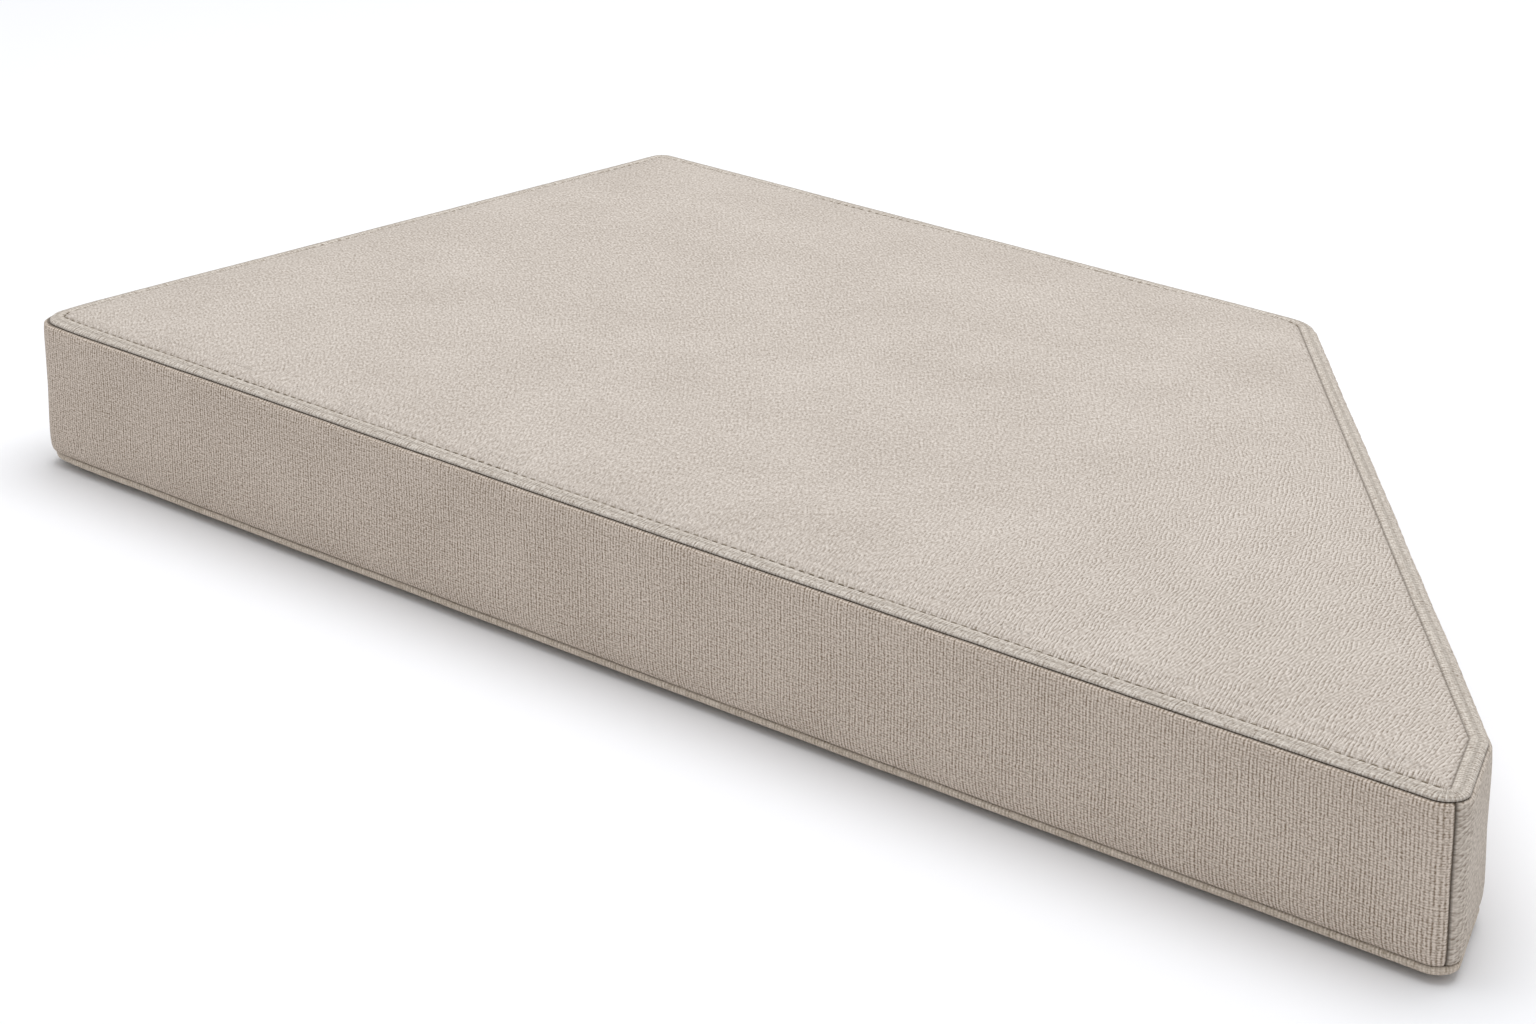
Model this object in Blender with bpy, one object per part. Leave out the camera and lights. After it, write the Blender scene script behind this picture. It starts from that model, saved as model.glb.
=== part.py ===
"""Window seat cushion: a boxed foam cushion for a corner or bay window seat.

The plan is a right-angled trapezoid. The left side stands square to the front and
the back, the right side runs in at a slant, and its sharp tip is cut off by a short
blunt end. Top and bottom panels are sewn to an upright boxing strip. Each panel's
edge is pressed over and top stitched, so a puffed band runs round it between the
seam and a sewn channel.

The cushion is one filled solid, made as a loft. Every ring of the loft is the seam
outline, moved in or out, at one height of the section. Inside the top channel the
rings close in on a spine and follow the crown.

Metres, +Z up, front edge along +X, back towards +Y. The origin is the centre of the
bounding box, on the surface that the cushion rests on.
"""

import math
from collections import namedtuple

import bmesh
import bpy
from mathutils import Vector

PART_NAME = "window_seat_cushion"
NODE_NAME = "cushion"

# Plan, measured along the seam line
DEPTH = 0.580
BACK_LENGTH = 0.612
BLUNT_END_LENGTH = 0.088
SLANT_ANGLE = math.radians(45.0)
BLUNT_END_ANGLE = math.radians(62.0)

# Heights above the surface that the cushion rests on
BOTTOM_SEAM_HEIGHT = 0.0100
TOP_SEAM_HEIGHT = 0.0990
CROWN_RISE = 0.0045
CROWN_REACH = 0.120

# The upright seam between the front boxing strip and the blunt end's strip
UPRIGHT_SEAM_DEPTH = 0.0014

# Loft density
SIDE_STEP = 0.045
ARC_STEP = math.radians(15.0)
SMALLEST_RADIUS = 0.0015

# The spine that the top rings close in on, as shares of the back length and depth
SPINE_SHARES = ((0.45, 0.50), (1.05, 0.46))
CROWN_RING_SHARES = (0.05, 0.12, 0.22, 0.35, 0.52, 0.72)

# Fabric
FABRIC_COLOR = (0.607, 0.552, 0.497, 1.0)
FABRIC_ROUGHNESS = 0.92

Corner = namedtuple("Corner", "name point radius upright_seam")
Section = namedtuple("Section", "place out height")

# Underside and bottom band: out from the seam line, height above the surface. The
# filling rounds the underside too, so its edge stands a few millimetres clear.
BOTTOM_BAND = (
    Section("rest face rim", -0.0360, 0.0),
    Section("underside rise", -0.0240, 0.0012),
    Section("underside lip", -0.0130, 0.0043),
    Section("bottom channel", -0.0102, 0.0058),
    Section("band inner foot", -0.0078, 0.0049),
    Section("band outer foot", -0.0038, 0.0047),
    Section("band curl", -0.0011, 0.0054),
    Section("band side", 0.0001, 0.0073),
    Section("band shoulder", -0.0002, 0.0090),
)

# Boxing strip: out from the seam line, height as a share between the two seams
BOXING = (
    Section("bottom seam", -0.0016, 0.0),
    Section("bottom shoulder", 0.0003, 0.03),
    Section("bottom round", 0.0014, 0.09),
    Section("lower wall", 0.0017, 0.25),
    Section("waist", 0.0014, 0.50),
    Section("upper wall", 0.0018, 0.75),
    Section("top round", 0.0021, 0.90),
    Section("top shoulder", 0.0009, 0.975),
    Section("top seam", -0.0014, 1.0),
)

# Top band and channel: out from the seam line, height above the top seam
TOP_BAND = (
    Section("band lip", 0.0005, 0.0008),
    Section("band side", 0.0001, 0.0021),
    Section("band shoulder", -0.0021, 0.0033),
    Section("band crest", -0.0055, 0.0041),
    Section("band inner slope", -0.0085, 0.0039),
    Section("top channel", -0.0102, 0.0027),
    Section("panel lip", -0.0126, 0.0040),
    Section("panel rim", -0.0165, 0.0052),
)


def clear_scene():
    """Remove every object that the scene starts with."""
    for old_object in list(bpy.data.objects):
        bpy.data.objects.remove(old_object)


def seam_corners():
    """The five corners of the seam line, anticlockwise from the left front."""
    end_run = BLUNT_END_LENGTH * math.cos(BLUNT_END_ANGLE)
    end_rise = BLUNT_END_LENGTH * math.sin(BLUNT_END_ANGLE)
    slant_run = (DEPTH - end_rise) / math.tan(SLANT_ANGLE)
    blunt_back_x = BACK_LENGTH + slant_run
    front_length = blunt_back_x + end_run
    return (
        Corner("left_front", Vector((0.0, 0.0)), 0.021, False),
        Corner("right_front", Vector((front_length, 0.0)), 0.012, True),
        Corner("right_blunt", Vector((blunt_back_x, end_rise)), 0.014, False),
        Corner("right_back", Vector((BACK_LENGTH, DEPTH)), 0.034, False),
        Corner("left_back", Vector((0.0, DEPTH)), 0.012, False),
    )


def side_direction(corners, index):
    """Unit direction of the side that leaves a corner, anticlockwise."""
    start = corners[index % len(corners)].point
    end = corners[(index + 1) % len(corners)].point
    return (end - start).normalized()


def corner_arc(corners, index, out):
    """Points of one rounded corner of the outline, moved out from the seam line."""
    corner = corners[index]
    arriving = side_direction(corners, index - 1)
    leaving = side_direction(corners, index)
    turn = arriving.angle_signed(leaving) * -1.0
    radius = max(corner.radius + out, SMALLEST_RADIUS)
    arriving_normal = Vector((arriving.y, -arriving.x))
    leaving_normal = Vector((leaving.y, -leaving.x))
    bisector = (arriving_normal + leaving_normal).normalized()
    to_offset_corner = bisector * (out / math.cos(turn / 2.0))
    to_arc_centre = bisector * (radius / math.cos(turn / 2.0))
    centre = corner.point + to_offset_corner - to_arc_centre
    steps = max(2, 2 * math.ceil(turn / ARC_STEP / 2.0))
    start_angle = math.atan2(arriving_normal.y, arriving_normal.x)
    points = []
    for step in range(steps + 1):
        angle = start_angle + turn * step / steps
        points.append(centre + Vector((math.cos(angle), math.sin(angle))) * radius)
    return points


def side_points(start, end, count):
    """Evenly spaced points strictly between the ends of a straight side."""
    return [start.lerp(end, step / count) for step in range(1, count)]


def outline(corners, out, seam_tuck=0.0):
    """One closed ring of plan points; the upright seam is pulled in by seam_tuck."""
    arcs = [corner_arc(corners, index, out) for index in range(len(corners))]
    ring = []
    for index, corner in enumerate(corners):
        arc = arcs[index]
        if corner.upright_seam and seam_tuck:
            middle = len(arc) // 2
            inward = (centroid(corners) - arc[middle]).normalized()
            arc[middle] = arc[middle] + inward * seam_tuck
        ring.extend(arc)
        next_point = corners[(index + 1) % len(corners)].point
        count = math.ceil((next_point - corner.point).length / SIDE_STEP)
        next_arc = arcs[(index + 1) % len(corners)]
        ring.extend(side_points(arc[-1], next_arc[0], count))
    return ring


def centroid(corners):
    """Mean of the corner points, well inside the outline."""
    total = Vector((0.0, 0.0))
    for corner in corners:
        total = total + corner.point
    return total / len(corners)


def distance_inside(corners, point):
    """Distance from a plan point in to the nearest side of the seam line."""
    nearest = math.inf
    for index, corner in enumerate(corners):
        along = side_direction(corners, index)
        inward = Vector((-along.y, along.x))
        nearest = min(nearest, (point - corner.point).dot(inward))
    return nearest


def crown_height(corners, point):
    """Height of the top panel inside its channel, rising softly to the crown."""
    rim = TOP_BAND[-1]
    share = (distance_inside(corners, point) + rim.out) / CROWN_REACH
    share = min(max(share, 0.0), 1.0)
    return TOP_SEAM_HEIGHT + rim.height + CROWN_RISE * math.sin(share * math.pi / 2.0)


def nearest_on_spine(point):
    """Closest point to a plan point on the spine under the crown."""
    start, end = [Vector((share_x * BACK_LENGTH, share_y * DEPTH))
                  for share_x, share_y in SPINE_SHARES]
    spine = end - start
    share = (point - start).dot(spine) / spine.length_squared
    return start + spine * min(max(share, 0.0), 1.0)


def level_ring(plan_ring, height):
    """A ring of plan points set at one height."""
    return [Vector((point.x, point.y, height)) for point in plan_ring]


def section_rings(corners):
    """Rings from the rest face's rim, up the side and over the band to the crown."""
    rings = [level_ring(outline(corners, row.out), row.height) for row in BOTTOM_BAND]
    wall_height = TOP_SEAM_HEIGHT - BOTTOM_SEAM_HEIGHT
    for row in BOXING:
        height = BOTTOM_SEAM_HEIGHT + wall_height * row.height
        rings.append(level_ring(outline(corners, row.out, UPRIGHT_SEAM_DEPTH), height))
    for row in TOP_BAND:
        rings.append(level_ring(outline(corners, row.out), TOP_SEAM_HEIGHT + row.height))
    rim = outline(corners, TOP_BAND[-1].out)
    for share in CROWN_RING_SHARES:
        plan_ring = [point.lerp(nearest_on_spine(point), share) for point in rim]
        rings.append([Vector((point.x, point.y, crown_height(corners, point)))
                      for point in plan_ring])
    return rings


def centre_offset(rings):
    """Move that puts the plan centre of the bounding box on the origin."""
    points = [point for ring in rings for point in ring]
    middle_x = (min(point.x for point in points) + max(point.x for point in points)) / 2.0
    middle_y = (min(point.y for point in points) + max(point.y for point in points)) / 2.0
    return Vector((-middle_x, -middle_y, 0.0))


def loft(mesh_builder, rings):
    """Skin between neighbouring rings, closed by a face at each end."""
    loops = [[mesh_builder.verts.new(point) for point in ring] for ring in rings]
    for lower, upper in zip(loops, loops[1:]):
        for index in range(len(lower)):
            following = (index + 1) % len(lower)
            mesh_builder.faces.new((lower[index], lower[following],
                                    upper[following], upper[index]))
    mesh_builder.faces.new(list(reversed(loops[0])))
    mesh_builder.faces.new(loops[-1])


def linen_material():
    """Undyed linen-look upholstery cloth: matt, warm grey-beige."""
    material = bpy.data.materials.new("linen_cloth")
    material.use_nodes = True
    shader = material.node_tree.nodes["Principled BSDF"]
    shader.inputs["Base Color"].default_value = FABRIC_COLOR
    shader.inputs["Roughness"].default_value = FABRIC_ROUGHNESS
    shader.inputs["Metallic"].default_value = 0.0
    return material


def build_cushion(collection):
    """Model the filled cushion as one closed solid and link it."""
    corners = seam_corners()
    rings = section_rings(corners)
    offset = centre_offset(rings)
    centred_rings = [[point + offset for point in ring] for ring in rings]
    mesh_builder = bmesh.new()
    loft(mesh_builder, centred_rings)
    bmesh.ops.recalc_face_normals(mesh_builder, faces=mesh_builder.faces)
    mesh = bpy.data.meshes.new(NODE_NAME)
    mesh_builder.to_mesh(mesh)
    mesh_builder.free()
    mesh.shade_smooth()
    mesh.materials.append(linen_material())
    cushion = bpy.data.objects.new(NODE_NAME, mesh)
    collection.objects.link(cushion)
    return cushion


def main():
    """Build the part in a collection of its own."""
    clear_scene()
    collection = bpy.data.collections.new(PART_NAME)
    bpy.context.scene.collection.children.link(collection)
    build_cushion(collection)


main()
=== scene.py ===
"""Dresses the window seat cushion: sewn linen cover, top stitching and studio.

The cushion is foam in a boxed linen cover. Its plan is a right-angled trapezoid whose
slanted right side ends in a short blunt tip. Top and bottom panels are sewn to an
upright boxing strip and top stitched 10 mm inside the seam, which leaves a puffed band
round each panel. Everything is in metres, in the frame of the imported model.
"""

import logging
import math
from dataclasses import dataclass, field
from enum import Enum
from typing import Sequence

import bmesh
import bpy
from mathutils import Matrix, Vector, kdtree, noise


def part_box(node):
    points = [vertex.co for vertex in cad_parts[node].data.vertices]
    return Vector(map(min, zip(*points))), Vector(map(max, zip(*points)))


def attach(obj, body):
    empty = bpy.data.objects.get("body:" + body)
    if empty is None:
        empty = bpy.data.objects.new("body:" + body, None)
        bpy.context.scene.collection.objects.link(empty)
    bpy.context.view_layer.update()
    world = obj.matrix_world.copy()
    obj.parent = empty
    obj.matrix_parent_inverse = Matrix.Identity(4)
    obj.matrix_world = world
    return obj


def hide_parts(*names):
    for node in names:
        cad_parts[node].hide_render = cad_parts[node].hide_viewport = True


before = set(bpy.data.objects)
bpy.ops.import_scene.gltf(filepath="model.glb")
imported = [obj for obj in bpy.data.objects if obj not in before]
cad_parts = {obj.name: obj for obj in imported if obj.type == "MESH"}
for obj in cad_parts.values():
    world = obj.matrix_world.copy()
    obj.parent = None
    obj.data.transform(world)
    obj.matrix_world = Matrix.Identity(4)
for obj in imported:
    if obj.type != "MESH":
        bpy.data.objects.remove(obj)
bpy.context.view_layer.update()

NODE = "cushion"
BODY = "root"
MM = 0.001

# Top stitching, and the sewn channel that it lies in
STITCH_PITCH = 7.6 * MM
CHANNEL_OUT = -10.2 * MM
CHANNEL_WIDTH = 0.8 * MM
OFF_CHANNEL = (0.0, 1.0)

# Sides that face right have a tighter channel, whose stitches sink out of sight
BLIND_FROM = 0.5
# There the stitch dimples' painted shade runs unbroken, as one dark line
BLIND_PHASE = 0.27

# Marks on the cloth
NEP_SPACING = 9.0 * MM
GATHER_PITCH = 2.3 * MM

log = logging.getLogger("window_seat_cushion")


class Zone(Enum):
    """The parts of the cover, in the order of its material slots."""

    FRONT = 0
    RETURN = 1
    BAND = 2
    BASE = 3
    PANEL = 4


class Face(Enum):
    """The two panels of the cover."""

    TOP = 1
    BOTTOM = -1


@dataclass(frozen=True)
class Corner:
    """One corner of the seam line.

    The point is on the sharp corner, before rounding. Half of the arc's steps belong
    to the side on either hand.
    """

    name: str
    point: Vector
    radius: float
    arc_steps: int
    side_steps: int


@dataclass(frozen=True)
class RingPoint:
    """A point of a ring: its place in plan and its run along the seam line."""

    place: Vector
    run: float
    outward: Vector


@dataclass(frozen=True)
class SectionRow:
    """One row of the cover's section, from the underside up to the top panel.

    Attributes:
        name: What the row is on the cover.
        out: Distance outwards from the seam line.
        height: Height above the surface that the cushion rests on.
        shade: How deep in a seam's groove the row lies, 0 to 1; it sets the painted shade in its
            colour.
        pucker: How much the gathers of the nearest sewing show, 0 to 1.
    """

    name: str
    out: float
    height: float
    shade: float = 0.0
    pucker: float = 0.0


@dataclass
class SeamPlan:
    """The closed line along which both panels are sewn to the boxing strip."""

    depth: float = 0.580
    back_length: float = 0.612
    blunt_end_length: float = 0.088
    slant_angle: float = math.radians(45.0)
    blunt_end_angle: float = math.radians(62.0)
    wall_bulge: float = 2.1 * MM
    front_bow: float = 1.5 * MM
    corner_draw: float = 2.2 * MM
    corner_reach: float = 22.0 * MM
    smallest_radius: float = 1.0 * MM
    long_side_steps: int = 480
    short_side_steps: int = 240
    origin: Vector = field(init=False)
    corners: list[Corner] = field(init=False)

    def __post_init__(self) -> None:
        """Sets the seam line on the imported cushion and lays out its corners."""
        low, _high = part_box(NODE)
        self.origin = Vector((low[0] + self.wall_bulge, low[1] + self.wall_bulge))
        self.corners = self._lay_out_corners()

    def _lay_out_corners(self) -> list[Corner]:
        """Works out the corners, anticlockwise from the left front.

        Returns:
            The five corners with their radii and steps.
        """
        end_run = self.blunt_end_length * math.cos(self.blunt_end_angle)
        end_rise = self.blunt_end_length * math.sin(self.blunt_end_angle)
        slant_run = (self.depth - end_rise) / math.tan(self.slant_angle)
        blunt_x = self.back_length + slant_run
        left_arc, front_arc, blunt_arc, back_arc = 16, 20, 8, 16
        end_steps = 16
        front_steps = self.long_side_steps - (left_arc + front_arc) // 2
        back_steps = self.long_side_steps - (back_arc + left_arc) // 2
        left_steps = self.short_side_steps - left_arc
        slant_steps = (self.short_side_steps - front_arc // 2 - end_steps - blunt_arc
                       - back_arc // 2)
        layout = (
            ("left_front", 0.0, 0.0, 21.0 * MM, left_arc, front_steps),
            ("right_front", blunt_x + end_run, 0.0, 12.0 * MM, front_arc, end_steps),
            ("right_blunt", blunt_x, end_rise, 14.0 * MM, blunt_arc, slant_steps),
            ("right_back", self.back_length, self.depth, 34.0 * MM, back_arc, back_steps),
            ("left_back", 0.0, self.depth, 12.0 * MM, left_arc, left_steps),
        )
        return [Corner(name, self.origin + Vector((x, y)), radius, arc, side)
                for name, x, y, radius, arc, side in layout]

    def _direction(self, index: int) -> Vector:
        """Unit direction of the side that leaves a corner."""
        start = self.corners[index % len(self.corners)].point
        end = self.corners[(index + 1) % len(self.corners)].point
        return (end - start).normalized()

    def _arc(self, index: int, out: float) -> list[tuple[Vector, Vector]]:
        """Rounds one corner of a ring.

        Args:
            index: The corner's index.
            out: Distance outwards from the seam line.

        Returns:
            Pairs of a place and an outward direction along the arc.
        """
        corner = self.corners[index]
        arriving = self._direction(index - 1)
        leaving = self._direction(index)
        turn = -arriving.angle_signed(leaving)
        radius = max(corner.radius + out, self.smallest_radius)
        arriving_out = Vector((arriving.y, -arriving.x))
        leaving_out = Vector((leaving.y, -leaving.x))
        bisector = (arriving_out + leaving_out).normalized()
        centre = corner.point + bisector * ((out - radius) / math.cos(turn / 2.0))
        start = math.atan2(arriving_out.y, arriving_out.x)
        points = []
        for step in range(corner.arc_steps + 1):
            angle = start + turn * step / corner.arc_steps
            outward = Vector((math.cos(angle), math.sin(angle)))
            points.append((centre + outward * radius, outward))
        return points

    def ring(self, out: float, drawn: float = 0.0) -> list[RingPoint]:
        """Lays out one closed ring parallel to the seam line.

        The ring starts at the middle of the left front corner's arc.

        Args:
            out: Distance outwards from the seam line.
            drawn: How much of the corner draw this ring takes, 0 to 1.

        Returns:
            The ring's points, anticlockwise.
        """
        count = len(self.corners)
        pairs: list[tuple[Vector, Vector]] = []
        for index, corner in enumerate(self.corners):
            arc = self._arc(index, out)
            following = self._arc((index + 1) % count, out)
            pairs.extend(arc)
            start, outward = arc[-1]
            bow = self.front_bow if index == 0 else 0.0
            for step in range(1, corner.side_steps):
                share = step / corner.side_steps
                place = start.lerp(following[0][0], share)
                pairs.append((place + outward * bow * math.sin(math.pi * share), outward))
        first = self.corners[0].arc_steps // 2
        pairs = pairs[first:] + pairs[:first]
        points = []
        run = 0.0
        for index, (place, outward) in enumerate(pairs):
            if index:
                run += (place - pairs[index - 1][0]).length
            points.append(RingPoint(place, run, outward))
        if not drawn:
            return points
        total = self.total_run(points)
        moved = []
        for point in points:
            away = min(point.run, total - point.run) / self.corner_reach
            pull = self.corner_draw * drawn * math.exp(-(away ** 2))
            moved.append(RingPoint(point.place - point.outward * pull, point.run, point.outward))
        return moved

    @property
    def ring_size(self) -> int:
        """Number of points in a ring."""
        return 2 * (self.long_side_steps + self.short_side_steps)

    @property
    def upright_seam_index(self) -> int:
        """Index in a ring of the upright seam, the middle of the right front arc."""
        return self.long_side_steps

    def across(self, rim: Sequence[Vector], u: float, v: float) -> Vector:
        """Blends the four sides of a rim into a place inside it.

        Args:
            rim: The closed rim, starting at the left front corner.
            u: Share of the way along the long sides.
            v: Share of the way along the short sides.

        Returns:
            The blended place.
        """
        long_steps, short_steps, total = self.long_side_steps, self.short_side_steps, len(rim)
        step_u = round(u * long_steps)
        step_v = round(v * short_steps)
        front = rim[step_u]
        right = rim[long_steps + step_v]
        back = rim[2 * long_steps + short_steps - step_u]
        left = rim[(total - step_v) % total]
        corners = (rim[0] * ((1.0 - u) * (1.0 - v)) + rim[long_steps] * (u * (1.0 - v))
                   + rim[long_steps + short_steps] * (u * v)
                   + rim[2 * long_steps + short_steps] * ((1.0 - u) * v))
        return front * (1.0 - v) + back * v + left * (1.0 - u) + right * u - corners

    def total_run(self, ring: Sequence[RingPoint]) -> float:
        """Length once round a ring."""
        return ring[-1].run + (ring[0].place - ring[-1].place).length

    def stitch_runs(self) -> tuple[list[float], int]:
        """Measures the sewn channel in whole stitches.

        Returns:
            The run of each ring point along the channel, closed by the whole run, so
            that it holds a whole number of stitches, and that number.
        """
        ring = self.ring(CHANNEL_OUT)
        total = self.total_run(ring)
        stitches = round(total / STITCH_PITCH)
        scale = stitches * STITCH_PITCH / total
        return [point.run * scale for point in ring] + [total * scale], stitches


def hex_to_linear(code: str) -> tuple[float, float, float, float]:
    """Turns an sRGB hex colour into linear RGBA.

    Args:
        code: Six hex digits, such as "cdc4bb".

    Returns:
        Linear red, green, blue and an alpha of 1.
    """
    channels = []
    for start in (0, 2, 4):
        value = int(code[start:start + 2], 16) / 255.0
        if value <= 0.04045:
            channels.append(value / 12.92)
        else:
            channels.append(((value + 0.055) / 1.055) ** 2.4)
    return (channels[0], channels[1], channels[2], 1.0)


def add_node(tree: bpy.types.NodeTree, kind: str, inputs: Sequence | dict = (),
             **settings: str) -> bpy.types.NodeOutputs:
    """Adds a shader node with its settings and links.

    Args:
        tree: The node tree.
        kind: The node's type, such as "Math".
        inputs: Values, or outputs of other nodes, in the order of the node's inputs or by
            the input's name or number.
        settings: The node's own settings by name.

    Returns:
        The node's outputs.
    """
    node = tree.nodes.new(f"ShaderNode{kind}")
    for name, setting in settings.items():
        setattr(node, name, setting)
    named = inputs.items() if isinstance(inputs, dict) else enumerate(inputs)
    for name, value in named:
        if isinstance(value, bpy.types.NodeSocket):
            tree.links.new(value, node.inputs[name])
        else:
            node.inputs[name].default_value = value
    return node.outputs


def extrude_ring(bm: bmesh.types.BMesh, cap: bmesh.types.BMFace,
                 ring: Sequence[Vector]) -> bmesh.types.BMFace:
    """Extrudes a cap and moves its corners to the next ring.

    Args:
        bm: The bmesh.
        cap: The face that closes the work so far.
        ring: Where the new cap's corners go.

    Returns:
        The new cap.
    """
    made = bmesh.ops.extrude_face_region(bm, geom=[cap])
    new_cap = next(item for item in made["geom"] if isinstance(item, bmesh.types.BMFace))
    for corner, place in zip(new_cap.verts, ring):
        corner.co = place
    return new_cap


def between(values: Sequence[float], place: float) -> float:
    """Reads a smooth curve through evenly spaced values.

    Args:
        values: The values.
        place: Where to read, counted in values from the first.

    Returns:
        The value there, on a Catmull-Rom curve.
    """
    last = len(values) - 1
    index = min(max(int(place), 0), last - 1)
    share = place - index
    before, start = values[max(index - 1, 0)], values[index]
    end, after = values[index + 1], values[min(index + 2, last)]
    return start + 0.5 * share * (
        end - before + share * (2.0 * before - 5.0 * start + 4.0 * end - after
                                + share * (3.0 * (start - end) + after - before)))


def finish_mesh(bm: bmesh.types.BMesh, name: str) -> bpy.types.Object:
    """Makes a linked object from a bmesh, smooth shaded and in place.

    Args:
        bm: The bmesh, which is freed.
        name: Name of the object and its mesh.

    Returns:
        The new object, at the origin, unturned and unscaled.
    """
    mesh = bpy.data.meshes.new(name)
    bm.to_mesh(mesh)
    bm.free()
    mesh.shade_smooth()
    piece = bpy.data.objects.new(name, mesh)
    bpy.context.scene.collection.objects.link(piece)
    return piece


@dataclass(frozen=True)
class LinenFinish:
    """Plain-woven linen-look polyester: matt, slubby, a warm grey-beige melange.

    Light and dark threads are mixed, so single threads show as paler and darker lines,
    with dark pinholes where they cross. Crushed lines, low ridges with painted light
    on one flank and painted shade on the other, wander over the cloth in loops. The
    thread spacing, near 2 mm, is coarser than in real upholstery linen, because that
    is what shows in the photo.

    Attributes:
        name: The material's name.
        thread_across: Spacing of the threads that run along V, in metres.
        thread_along: Spacing of the threads that run along U, in metres.
        grain: Contrast of the weave, at the left and at the right.
        slub: How much single threads differ in tone.
        streak: Contrast of the short strokes along V, where threads lie unevenly.
        bead: Contrast of the speckle of fibres and crossings, at the left and the right.
        bead_size: Size of the speckle along U and V.
        bead_turn: Turn of the speckle's own U and V in the cloth.
        line_pitch: Spacing of the crushed lines, in metres.
        line_width: Distance from a line's middle to its painted light or painted shade, in metres.
        line_turn: Direction that the lines run in, from U.
        line_centre: Point in the cloth that the lines curve round, instead of a direction.
        line_wander: How far lines stray, in spacings, at the left and at the right.
        line_size: Size of the loops that the lines stray in, along and across.
        line_reach: Size of the patches that the lines show in, along U and V.
        calm: Where along U the grain and the wander pass from left to right.
        line_share: How much of the cloth shows the lines, 0 to 1.
        line_contrast: Strength of the lines' painted light and shade, at the left and the right.
        light_thread: Colour of the palest threads.
        dark_thread: Colour between the threads.
        crease_shade_tint: Colour of the painted shade deep in the seams.
        roughness: Roughness of the fibres.
        middle_tone: The cloth's mean tone, 0 at the dark thread and 1 at the light one.
        weave_tone: How far the weave moves the tone.
        line_shading_tone: How far the crushed lines' painted light and shade move the tone.
        nep_tone: How far the neps move the tone.
        fold_shading_tone: How far the painted light and shade of the gathers' folds move the tone.
        cloud_tone: How far the cloth's large soft patches move the tone.
        weave_relief: Height of the weave.
        line_relief: Height of the crushed lines.
        fold_relief: Height of the gathers' folds.
    """

    name: str
    thread_across: float = 2.4 * MM
    thread_along: float = 1.45 * MM
    grain: tuple[float, float] = (1.0, 1.0)
    slub: float = 0.3
    streak: float = 0.0
    bead: tuple[float, float] = (1.0, 1.0)
    bead_size: tuple[float, float] = (1.3 * MM, 1.3 * MM)
    bead_turn: float = 0.0
    line_pitch: float = 3.8 * MM
    line_width: float = 0.62 * MM
    line_turn: float = math.radians(90.0)
    line_centre: tuple[float, float] | None = None
    line_wander: tuple[float, float] = (1.0, 1.0)
    line_size: tuple[float, float] = (26.0 * MM, 26.0 * MM)
    line_reach: tuple[float, float] = (13.0 * MM, 17.0 * MM)
    calm: tuple[float, float] = (0.05, 0.35)
    line_share: float = 0.5
    line_contrast: tuple[float, float] = (1.0, 1.0)
    light_thread: str = "dad3cb"
    dark_thread: str = "8a7d70"
    crease_shade_tint: str = "53493e"
    roughness: float = 0.92
    middle_tone: float = 0.60
    weave_tone: float = 0.22
    line_shading_tone: float = 0.34
    nep_tone: float = 0.22
    fold_shading_tone: float = 0.12
    cloud_tone: float = 0.20
    weave_relief: float = 0.10 * MM
    line_relief: float = 0.09 * MM
    fold_relief: float = 0.04 * MM

    def _noise(self, tree: bpy.types.NodeTree, x: bpy.types.NodeSocket,
               y: bpy.types.NodeSocket, size: tuple[float, float], offset: float,
               detail: float = 1.0) -> bpy.types.NodeSocket:
        """Adds a smooth noise over the cloth.

        Args:
            tree: The material's node tree.
            x: First coordinate, in metres.
            y: Second coordinate, in metres.
            size: Length of the noise's waves along both.
            offset: Keeps this noise apart from the others.
            detail: Octaves of finer noise.

        Returns:
            The noise, from 0 to 1.
        """
        across = add_node(tree, "Math", (x, 1.0 / size[0]), operation="MULTIPLY")[0]
        along = add_node(tree, "Math", (y, 1.0 / size[1]), operation="MULTIPLY")[0]
        place = add_node(tree, "CombineXYZ", (across, along, offset))[0]
        return add_node(tree, "TexNoise", {"Vector": place, "Scale": 1.0, "Detail": detail,
                                           "Roughness": 0.5})["Fac"]

    def _ridge(self, tree: bpy.types.NodeTree,
               aside: bpy.types.NodeSocket) -> bpy.types.NodeSocket:
        """Adds a soft ridge.

        Args:
            tree: The material's node tree.
            aside: Distance from the ridge's middle, in half widths.

        Returns:
            The ridge, 1 at its middle and falling away like a bell.
        """
        square = add_node(tree, "Math", (aside, aside), operation="MULTIPLY")[0]
        fall = add_node(tree, "Math", (square, -1.0), operation="MULTIPLY")[0]
        return add_node(tree, "Math", (fall,), operation="EXPONENT")[0]

    def _along_cloth(self, tree: bpy.types.NodeTree, u: bpy.types.NodeSocket, left: float,
                     right: float) -> bpy.types.NodeSocket:
        """Adds an amount that passes from its left to its right value where calm says."""
        return add_node(tree, "MapRange", (u, *self.calm, left, right),
                        interpolation_type="SMOOTHSTEP")[0]

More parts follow.
